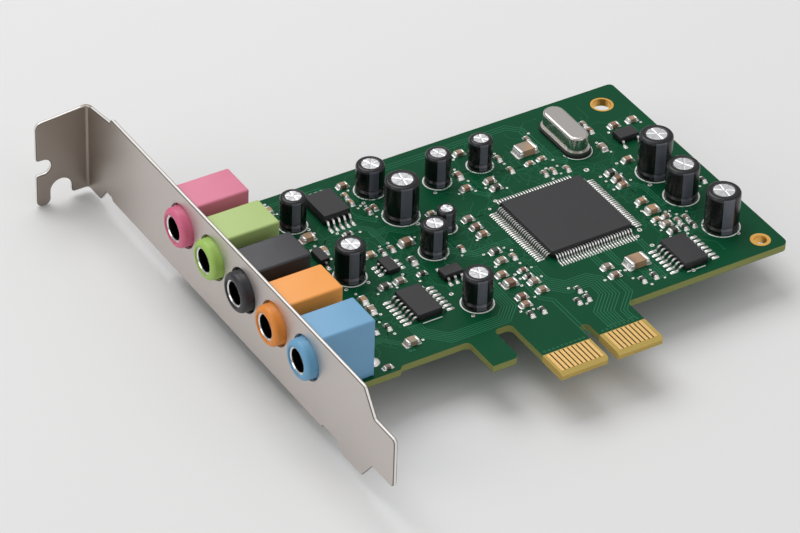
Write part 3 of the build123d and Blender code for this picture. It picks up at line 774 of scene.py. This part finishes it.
def solder_chips():
    """A pad and a hollow slope of solder at each metal end of each chip."""
    shell = Shell()
    for place, outward, half in CHIP_ENDS:
        flat = abs(cos(outward)) > abs(sin(outward))
        deep, wide = (half[0], half[1]) if flat else (half[1], half[0])
        shift = (CHIP_SPREAD + CHIP_SPREAD_BY_WIDTH * wide) / 2
        fillet_of_solder(
            shell,
            place[0] + cos(outward) * shift,
            place[1] + sin(outward) * shift,
            outward,
            (deep + shift + CHIP_PAD_PAST, wide + CHIP_PAD_BESIDE),
            (deep + CHIP_LAP, wide + CHIP_LAP, -shift),
            2 * half[2] * CHIP_CLIMB,
        )
    shell.piece("chip_solder", SOLDER, "tinned_copper")


def nearest_box(boxes, place):
    """The box that lies nearest to a point, seen from above."""
    gaps = [np.maximum(np.maximum(low - place, place - high)[:2], 0) for low, high in boxes]
    return boxes[int(np.argmin([hypot(*gap) for gap in gaps]))]


# Solder at a leg: half its foot as a share of the leg's length, how far the solder's middle
# lies past the foot's, and how far its pad shows past the foot. Legs narrower than FINE_LEG
# have less solder than wide ones: how far beside the leg, and how high
FOOT_SHARE = 0.26
TIP_PAST = 0.06
LEG_PAD_PAST = 0.22
FINE_LEG = 0.33
FINE_SOLDER = (0.015, 0.16)
WIDE_SOLDER = (0.15, 0.24)


def solder_legs():
    """A small pad with solder round the foot of each gull-wing leg."""
    shell = Shell()
    for legs, body in PACKAGES.items():
        packages = islands(body)
        for low, high in islands(legs):
            middle = (low + high) / 2
            package = nearest_box(packages, middle)
            out = middle - (package[0] + package[1]) / 2
            size = high - low
            flat = size[0] > size[1]
            length, width = (size[0], size[1]) if flat else (size[1], size[0])
            sign = 1 if (out[0] if flat else out[1]) > 0 else -1
            angle = (0 if sign > 0 else pi) if flat else sign * pi / 2
            foot = length * FOOT_SHARE
            tip = length / 2 - foot + TIP_PAST
            beside, height = FINE_SOLDER if width < FINE_LEG else WIDE_SOLDER
            fillet_of_solder(
                shell,
                middle[0] + cos(angle) * tip,
                middle[1] + sin(angle) * tip,
                angle,
                (foot + LEG_PAD_PAST, width / 2 + beside),
                (foot * 0.9, width / 2 + 0.01, -0.05),
                height,
                steps=2,
            )
    shell.piece("leg_solder", SOLDER, "tinned_copper")


# Solder under the board: the radius at the board and at the tip of each kind of tail, and its
# height. A contact's tail stands a little behind the contact's front end
TAILS = (
    ("capacitor_leads", 0.95, 0.27),
    ("crystal_leads", 0.95, 0.27),
    ("jack_contacts", 1.0, 0.45),
)
TAIL_HEIGHT = 1.15
CONTACT_TAIL = 0.15


def solder_tails():
    """A hollow cone of solder round each tail under the board: at the share s of its height
    the radius is tip + (base - tip) (1 - s) to the power 2.4."""
    shell = Shell()
    angle = np.linspace(0, 2 * pi, 16, endpoint=False)
    share = np.array([0, 0.02, 0.25, 0.5, 0.75, 1.0])[:, None]
    for node, base, tip in TAILS:
        radius = tip + (base - tip) * (1 - share) ** 2.4
        for low, high in islands(node):
            x, y = ((low + high) / 2)[:2]
            if node == "jack_contacts":
                x = low[0] + CONTACT_TAIL
            rings = turned(x, y, radius, angle, SOLDER_FACE - TAIL_HEIGHT * share)
            shell.loops(rings[:, ::-1])
    shell.piece("tail_solder", SOLDER, "tinned_copper")


def offset_line(points, distance):
    """A line moved sideways: each corner goes along the bisector of its two normals."""
    points = np.asarray(points, float)
    step = np.diff(points, axis=0)
    step /= np.linalg.norm(step, axis=1)[:, None]
    normal = np.stack([-step[:, 1], step[:, 0]], -1)
    before = np.vstack([normal[:1], normal])
    after = np.vstack([normal, normal[-1:]])
    joint = (before + after) / (1 + (before * after).sum(axis=1))[:, None]
    return points + joint * distance


def track(shell, points, width, level, height):
    """A raised strip along a line, slightly narrower on top."""
    rings = []
    for side, rise in ((0.5, 0), (-0.5, 0), (-0.36, 1), (0.36, 1)):
        line = offset_line(points, side * width)
        rings.append(np.column_stack([line, np.full(len(line), level + rise * height)]))
    rings = np.stack(rings, 1)
    shell.loops(rings[:, ::-1] if height < 0 else rings)


def side_by_side(points, count, pitch):
    """The lines of several tracks beside each other, from the line of the middle one."""
    return [offset_line(points, (number - (count - 1) / 2) * pitch) for number in range(count)]


# Groups of tracks: the line of the middle one, how many, and their pitch
FRONT_TRACKS = [
    (((-28.6, 27.0), (-28.6, 24.6), (-24.4, 20.4), (-12.2, 20.4), (-9.2, 23.4), (-9.2, 31.0)), 6, 0.55),
    (((-41.0, 26.2), (-36.4, 26.2), (-33.0, 22.8), (-33.0, 20.6)), 3, 0.5),
    (
        (
            (0.5, 31.5),
            (0.5, 26.4),
            (4.0, 22.9),
            (8.8, 22.9),
            (10.1, 21.6),
            (10.1, 17.0),
            (6.0, 12.9),
            (6.0, 8.4),
        ),
        7,
        0.62,
    ),
    (((13.9, 30.2), (13.9, 15.6), (9.6, 11.3), (9.6, 8.4)), 3, 0.62),
    (((-2.6, 29.0), (-2.6, 22.6), (-0.6, 20.6), (-0.6, 8.4)), 2, 0.8),
    (((17.4, 30.2), (17.4, 24.4), (20.2, 21.6), (20.2, 17.0)), 3, 0.6),
    (((-9.6, 47.8), (-9.6, 44.4), (-6.2, 41.0), (2.4, 41.0)), 4, 0.6),
    (((-20.6, 56.4), (-16.4, 56.4), (-14.0, 54.0), (-4.8, 54.0), (-2.8, 52.0)), 4, 0.55),
    (((25.0, 28.6), (25.0, 25.4), (22.6, 23.0), (22.6, 16.4)), 3, 0.6),
    (((29.8, 47.0), (32.0, 44.8), (34.6, 44.8), (36.0, 43.4), (36.0, 36.2)), 3, 0.55),
    (((27.2, 58.4), (25.0, 60.6), (25.0, 72.0), (22.6, 74.4), (-8.0, 74.4)), 3, 0.7),
    (((7.2, 56.2), (5.2, 58.2), (5.2, 62.6), (2.8, 65.0)), 3, 0.55),
    (((-37.0, 74.6), (-22.0, 74.6), (-20.4, 73.0), (-20.4, 63.2), (-17.2, 60.0)), 2, 0.7),
    (((-26.8, 60.2), (-22.0, 60.2), (-19.8, 58.0), (-19.8, 52.4)), 3, 0.55),
]
BACK_TRACKS = [
    (((-36.0, 25.0), (-20.0, 25.0), (-12.0, 33.0), (-12.0, 52.0), (-4.0, 60.0), (24.0, 60.0)), 8, 0.8),
    (((-44.0, 38.0), (-30.0, 38.0), (-24.0, 44.0), (-24.0, 62.0)), 5, 0.8),
    (((-6.5, 8.6), (-6.5, 18.0), (2.0, 26.5), (2.0, 44.0), (10.0, 52.0)), 8, 0.9),
    (((6.4, 8.6), (6.4, 16.0), (16.0, 25.6), (30.0, 25.6), (37.0, 32.6), (37.0, 56.0)), 7, 0.9),
    (((-46.0, 68.0), (-20.0, 68.0), (-14.0, 74.0), (36.0, 74.0)), 4, 0.9),
    (((44.0, 24.0), (44.0, 60.0), (38.0, 66.0), (12.0, 66.0)), 4, 0.9),
]


TRACK_WIDTH = 0.2
BACK_TRACK_WIDTH = 0.24
TRACK_HEIGHT = 0.035

# Where loose tracks may run: the board less a margin, from a higher level to the left of
# FREE_STEP, and HOLE_ROOM away from the middles of the plated holes
FREE_LEFT = -53.5
FREE_RIGHT = 49.4
FREE_STEP = -1.0
FREE_LOW_LEFT = 19.0
FREE_LOW_RIGHT = 14.4
FREE_HIGH = 76.2
HOLE_ROOM = 3.4
HOLES = [centre(side + "_hole_lining")[:2] for side in ("upper", "lower")]

# Left, right, lower and upper edges of the two places where bundles run close together
BUNDLE_PLACES = ((-6.0, 16.5, 14.0, 31.0), (-34.0, -8.0, 14.0, 27.0))


def free_board(x, y):
    """Whether a point lies on the board, clear of its edges and of the fingers."""
    lowest = FREE_LOW_LEFT if x < FREE_STEP else FREE_LOW_RIGHT
    return FREE_LEFT < x < FREE_RIGHT and lowest < y < FREE_HIGH


def near_hole(x, y):
    """Whether a point lies on or close to one of the two plated holes."""
    return min(hypot(x - hole[0], y - hole[1]) for hole in HOLES) < HOLE_ROOM


def bundled(x, y):
    """Whether a point lies between the chips and the fingers, where the bundles run."""
    return any(
        left < x < right and lower < y < upper for left, right, lower, upper in BUNDLE_PLACES
    )


def spots_along(line, count=20):
    """Points along a line, as many to each of its segments as count says."""
    share = np.linspace(0, 1, count)[:, None]
    return np.concatenate([a + (b - a) * share for a, b in zip(line, line[1:])])


# What stands on the board, seen from above: left, lower, right and upper edge of each solid
STANDING = (
    "chip_end_caps",
    *PACKAGES,
    *PACKAGES.values(),
    "crystal_spacer",
    "upper_hole_lining",
    "lower_hole_lining",
    *[sleeve for can, sleeve in CAPACITORS.values()],
    *["jack_housing_" + jack for jack in JACKS],
)
DOME = (-41.6, 21.2)
DOME_RADIUS = 1.5
DOME_BOX = (np.subtract(DOME, DOME_RADIUS), np.add(DOME, DOME_RADIUS))
OCCUPIED = np.array(
    [
        (*low[:2], *high[:2])
        for low, high in [box for node in STANDING for box in islands(node)] + [DOME_BOX]
    ]
)


def bare(x, y, room):
    """Whether nothing stands on the board within some room of a point."""
    left, lower, right, upper = OCCUPIED.T
    aside = np.maximum(left - x, x - right)
    along = np.maximum(lower - y, y - upper)
    return bool((np.maximum(aside, along) > room).all())


VIA_HEIGHT = 0.06
COVERED_HEIGHT = 0.05
END_HEIGHT = 0.045


def via(shell, x, y, radius, hole, steps):
    """A bright ring on both faces of the board. hole is the open share of its radius."""
    for level, height in ((BOARD_FACE, VIA_HEIGHT), (SOLDER_FACE, -VIA_HEIGHT)):
        ring(shell, x, y, radius * hole, radius * (1 - hole), level, height, steps)


# Loose tracks and the small vias beside the chips. A via keeps some room from what stands on
# the board, and its spacing from the next via. ENDED_SHARE of the loose tracks end in a via,
# and KEPT_SHARE of the small vias that find room are made
LOOSE_SEED = 11
LOOSE_WIDTH = 0.17
LOOSE_HEIGHT = 0.03
LOOSE_LENGTHS = (0.9, 4.2)
STUB_WIDTH = 0.2
STUB_LENGTHS = (1.3, 2.0)
STUB_SWING = 1.2
SMALL_RADII = (0.26, 0.36)
SMALL_HOLE = 0.35
VIA_ROOM = 0.45
VIA_SPACING = 0.9
ENDED_SHARE = 0.5
KEPT_SHARE = 0.8


def loose_line(draw, place, outward):
    """The line of a loose track: three stretches from a place, 45 degrees apart."""
    heading = outward + draw.choice((-2, -1, 0, 1, 2)) * pi / 4
    line = [place]
    for length in draw.uniform(*LOOSE_LENGTHS, 3):
        line.append(line[-1] + np.array([cos(heading), sin(heading)]) * length)
        heading += draw.choice((-1, 1)) * pi / 4
    return line


def add_loose_tracks():
    """Tracks that start at the ends of the chips and bend by 45 degrees twice, many with a
    covered via at the end, and small bare vias beside the chips. Lengths, turns and places
    are drawn from a fixed seed."""
    shell, bright = Shell(), Shell()
    draw = np.random.default_rng(LOOSE_SEED)
    for place, outward, _ in CHIP_ENDS * 3:
        line = loose_line(draw, place, outward)
        if all(
            free_board(*spot) and not bundled(*spot) and not near_hole(*spot)
            for spot in spots_along(line)
        ):
            track(shell, line, LOOSE_WIDTH, BOARD_FACE, LOOSE_HEIGHT)
            if draw.random() < ENDED_SHARE:
                ring(shell, *line[-1], 0.11, 0.17, BOARD_FACE, END_HEIGHT, 10)
    placed = []
    for place, outward, _ in CHIP_ENDS:
        heading = outward + draw.uniform(-STUB_SWING, STUB_SWING)
        spot = place + np.array([cos(heading), sin(heading)]) * draw.uniform(*STUB_LENGTHS)
        apart = all(hypot(*(spot - other)) > VIA_SPACING for other in placed)
        fits = free_board(*spot) and bare(*spot, VIA_ROOM) and apart
        if fits and draw.random() < KEPT_SHARE:
            placed.append(spot)
            track(shell, (place, spot), STUB_WIDTH, BOARD_FACE, LOOSE_HEIGHT)
            via(bright, *spot, draw.uniform(*SMALL_RADII), SMALL_HOLE, 12)
    shell.piece("loose_tracks", LOOSE, "board_laminate", smooth=False)
    bright.piece("small_vias", SOLDER, "tinned_copper")


def add_tracks():
    """The bundles of tracks on the two faces of the board."""
    front, back = Shell(), Shell()
    for points, count, pitch in FRONT_TRACKS:
        for line in side_by_side(points, count, pitch):
            track(front, line, TRACK_WIDTH, BOARD_FACE, TRACK_HEIGHT)
    for points, count, pitch in BACK_TRACKS:
        for line in side_by_side(points, count, pitch):
            track(back, line, BACK_TRACK_WIDTH, SOLDER_FACE, -TRACK_HEIGHT)
    front.piece("front_tracks", TRACK, "board_laminate", smooth=False)
    back.piece("back_tracks", TRACK, "board_laminate", smooth=False)


# Vias that show as bright rings: place and radius
BRIGHT_VIAS = [
    (27.0, 31.5, 0.55),
    (25.4, 29.9, 0.45),
    (37.4, 43.2, 0.5),
    (26.3, 26.0, 0.5),
    (28.8, 15.2, 0.5),
    (7.1, 53.9, 0.45),
    (4.6, 52.1, 0.35),
    (29.0, 53.8, 0.6),
    (-16.4, 66.3, 0.45),
    (-30.6, 64.0, 0.45),
    (-2.0, 62.2, 0.4),
    (-34.2, 43.4, 0.4),
    (-29.2, 43.3, 0.4),
    (-10.6, 55.0, 0.5),
    (-17.0, 24.1, 0.4),
    (-17.0, 32.1, 0.5),
    (-20.6, 33.4, 0.4),
    (43.6, 20.8, 0.4),
    (-12.0, 42.6, 0.35),
]


BRIGHT_HOLE = 0.42
FINGER_VIA_ROW = MASK_EDGE + 0.75


def add_vias():
    """Bright rings with a dark hole, small covered vias in a row above the fingers, and
    covered ones at both ends of each track in a bundle."""
    bright, covered, ends = Shell(), Shell(), Shell()
    for x, y, radius in BRIGHT_VIAS:
        via(bright, x, y, radius, BRIGHT_HOLE, 20)
    for middle, count in FINGER_ROWS:
        for number in range(count):
            x = middle + number - (count - 1) / 2
            for level, height in ((BOARD_FACE, COVERED_HEIGHT), (SOLDER_FACE, -COVERED_HEIGHT)):
                ring(covered, x, FINGER_VIA_ROW, 0.12, 0.2, level, height, 12)
    for points, count, pitch in FRONT_TRACKS:
        for end in (0, -1):
            for line in side_by_side(points, count, pitch):
                ring(ends, *line[end], 0.1, 0.17, BOARD_FACE, END_HEIGHT, 12)
    bright.piece("bright_vias", SOLDER, "tinned_copper")
    covered.piece("covered_vias", TRACK, "board_laminate")
    ends.piece("track_ends", TRACK, "board_laminate")


# Printing: its height, its line widths, its gap round what it marks, and the bars beside the
# chips as left end, right end and row
INK_HEIGHT = 0.02
RING_WIDTH = 0.32
RING_GAP = 0.1
BAR_WIDTH = 0.26
ARC_WIDTH = 0.2
ARC_GAP = 0.3
BARS = ((-26.7, -22.3, 26.9), (27.4, 31.8, 15.3), (-26.6, -22.0, 72.4))


def add_ink():
    """Printed rings round the capacitors, bars beside the chips, an arc at the crystal."""
    shell = Shell()
    for _, sleeve in CAPACITORS.values():
        x, y = centre(sleeve)[:2]
        radius = span(sleeve)[0] / 2 + RING_GAP
        ring(shell, x, y, radius, RING_WIDTH, BOARD_FACE, INK_HEIGHT, 64)
    for left, right, y in BARS:
        track(shell, ((left, y), (right, y)), BAR_WIDTH, BOARD_FACE, INK_HEIGHT)
    x, y = centre("crystal_spacer")[:2]
    wide, long = span("crystal_spacer")[:2]
    bend = wide / 2 + ARC_GAP
    angle = np.linspace(0.02 * pi, 0.98 * pi, 21)
    arc = [x - bend * np.cos(angle), y - (long / 2 - bend + ARC_GAP + bend * np.sin(angle))]
    track(shell, np.column_stack(arc), ARC_WIDTH, BOARD_FACE, INK_HEIGHT)
    shell.piece("board_printing", INK, "board_laminate", smooth=False)


# The dome of solder: the height of its upright rim, that of the ellipse on it, and how far
# round the quarter ellipse goes, which leaves a small flat top
DOME_RIM = 0.06
DOME_HEIGHT = 0.5
DOME_TURN = 0.47 * pi


def add_anchor():
    """A round solder dome beside the blue jack: rings that rise as a quarter ellipse."""
    shell = Shell()
    angle = np.linspace(0, 2 * pi, 40, endpoint=False)
    turn = np.linspace(0, DOME_TURN, 7)
    reach = DOME_RADIUS * np.concatenate([[1.0], np.cos(turn)])
    rise = np.concatenate([[0.0], DOME_RIM + DOME_HEIGHT * np.sin(turn)])
    shell.loops(turned(*DOME, reach[:, None], angle, (BOARD_FACE + rise)[:, None]))
    shell.piece("anchor_solder", SOLDER, "tinned_copper")


# The middle and half the width of the sleeve's lip and the edge of the pressed top inside it,
# as shares of the sleeve's radius
LIP_MIDDLE = 0.665
LIP_HALF = 0.065
VENT_EDGE = 0.68

# The pressed top: its height, the depth and half width of a groove, the rise of a sector, how
# far the edge is lower, the share of the slope that the edge loses, and its turn per capacitor
VENT_HEIGHT = 0.11
GROOVE_DEPTH = 0.07
GROOVE_WIDTH = 0.14
SECTOR_RISE = 0.025
EDGE_DROP = 0.04
EDGE_LOSS = 0.32
VENT_TURN = radians(27.0)


def add_vents():
    """Pressed vent lines in the tops of the cans: a disc whose height falls near three lines
    through its middle, and whose six sectors slope a little, each its own way."""
    shell = Shell()
    angle = np.linspace(0, 2 * pi, 72, endpoint=False)
    share = np.linspace(0.04, 1, 10)[:, None]
    edge = share == 1
    for number, (can, sleeve) in CAPACITORS.items():
        top = top_of(can)
        reach = share * (span(sleeve)[0] / 2 * VENT_EDGE - 0.03)
        around = angle - VENT_TURN * number
        line = np.min([np.abs(np.sin(around - third * pi / 3)) for third in range(3)], axis=0)
        groove = np.exp(-((reach * line / GROOVE_WIDTH) ** 2))
        slope = SECTOR_RISE * np.sin(3 * around) * share * (1 - EDGE_LOSS * edge)
        rise = VENT_HEIGHT - GROOVE_DEPTH * groove + slope - EDGE_DROP * edge
        circles = turned(*centre(can)[:2], reach, angle, top + np.maximum(rise, 0.005))
        base = circles[-1].copy()
        base[:, 2] = top - 0.05
        shell.loops(np.concatenate([base[None], circles[::-1]]))
    shell.piece("capacitor_vents", CAN, "can_aluminium", smooth=False)


def add_lips():
    """The sleeve's rolled lip on each can: half an ellipse turned about the can's middle,
    r = (LIP_MIDDLE + LIP_HALF cos(t)) R, z = base + rise sin(t)."""
    shell = Shell()
    angle = np.linspace(0, 2 * pi, 48, endpoint=False)[:, None]
    turn = np.linspace(0, pi, 7)
    for can, sleeve in CAPACITORS.values():
        base = top_of(can)
        rise = top_of(sleeve) + 0.06 - base
        across = np.concatenate([[-1, 1], np.cos(turn)])
        reach = span(sleeve)[0] / 2 * (LIP_MIDDLE + LIP_HALF * across)
        level = base + np.concatenate([[-0.03, -0.03], rise * np.sin(turn)])
        shell.tube(turned(*centre(can)[:2], reach, angle, level))
    shell.piece("sleeve_lips", LIP, "sleeve_vinyl")


soften("bracket", "bracket_rounded", 0.22, 3, STEEL)
soften("chip_end_caps", "end_caps_rounded", 0.1, 1, TIN)
soften("controller_body", "controller_rounded", 0.18, 2, EPOXY)
soften("amplifier_body", "amplifier_rounded", 0.1, 2, EPOXY)
soften("converter_bodies", "converters_rounded", 0.1, 2, EPOXY)
soften("small_package_bodies", "packages_rounded", 0.08, 2, EPOXY)
for jack in JACKS:
    soften_housing(jack)
solder_chips()
solder_legs()
solder_tails()
add_tracks()
add_loose_tracks()
add_vias()
add_ink()
add_anchor()
add_vents()
add_lips()


# Stage, in metres: half the floor's side and its gap under the card, then each lamp's name,
# place, size and power, and the point that they face
FLOOR_HALF = 3.0
FLOOR_GAP = 0.0002
LAMPS = (
    ("above", (-0.05, 0.45, 0.72), 0.6, 3.2),
    ("bracket_side", (-0.85, 0.05, 0.3), 0.5, 1.1),
    ("front", (0.30, -0.75, 0.40), 0.5, 0.7),
)
LIT_POINT = (-0.01, 0.045, 0)
SURROUND = {"From Min": -0.1, "From Max": 0.9, "To Min": 0.28, "To Max": 0.62}


def add_floor():
    """A plain pale floor just under the lowest point of the card."""
    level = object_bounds()[0][2] - FLOOR_GAP
    mesh = bpy.data.meshes.new("floor")
    corners = [(-1, -1), (1, -1), (1, 1), (-1, 1)]
    places = [(x * FLOOR_HALF, y * FLOOR_HALF, level) for x, y in corners]
    mesh.from_pydata(places, [], [(0, 1, 2, 3)])
    floor = bpy.data.objects.new("floor", mesh)
    scene.collection.objects.link(floor)
    finish = Finish("floor", (0.80, 0.80, 0.80), 0.9, 0.0, Specular_IOR_Level=0.1)
    finish.set(Base_Color=finish.vary(finish.noise(3.0), 0.01))
    floor.data.materials.append(finish.material)


def add_lamp(name, place, size, power):
    """A square soft lamp that faces the lit point."""
    lamp = bpy.data.objects.new(name, bpy.data.lights.new(name, "AREA"))
    lamp.data.size = size
    lamp.data.energy = power
    lamp.location = place
    facing = Vector(LIT_POINT) - Vector(place)
    lamp.rotation_euler = facing.to_track_quat("-Z", "Y").to_euler()
    scene.collection.objects.link(lamp)


def add_surround():
    """A white surround that brightens from the horizon to straight above."""
    world = bpy.data.worlds.new("surround")
    world.use_nodes = True
    nodes, links = world.node_tree.nodes, world.node_tree.links
    shade = nodes["Background"]
    shade.inputs["Color"].default_value = (1, 1, 1, 1)
    direction = nodes.new("ShaderNodeTexCoord").outputs["Generated"]
    split = nodes.new("ShaderNodeSeparateXYZ")
    rise = nodes.new("ShaderNodeMapRange")
    rise.interpolation_type = "SMOOTHSTEP"
    for name, number in SURROUND.items():
        rise.inputs[name].default_value = number
    links.new(direction, split.inputs[0])
    links.new(split.outputs[2], rise.inputs["Value"])
    links.new(rise.outputs["Result"], shade.inputs["Strength"])
    scene.world = world


add_floor()
for lamp in LAMPS:
    add_lamp(*lamp)
add_surround()
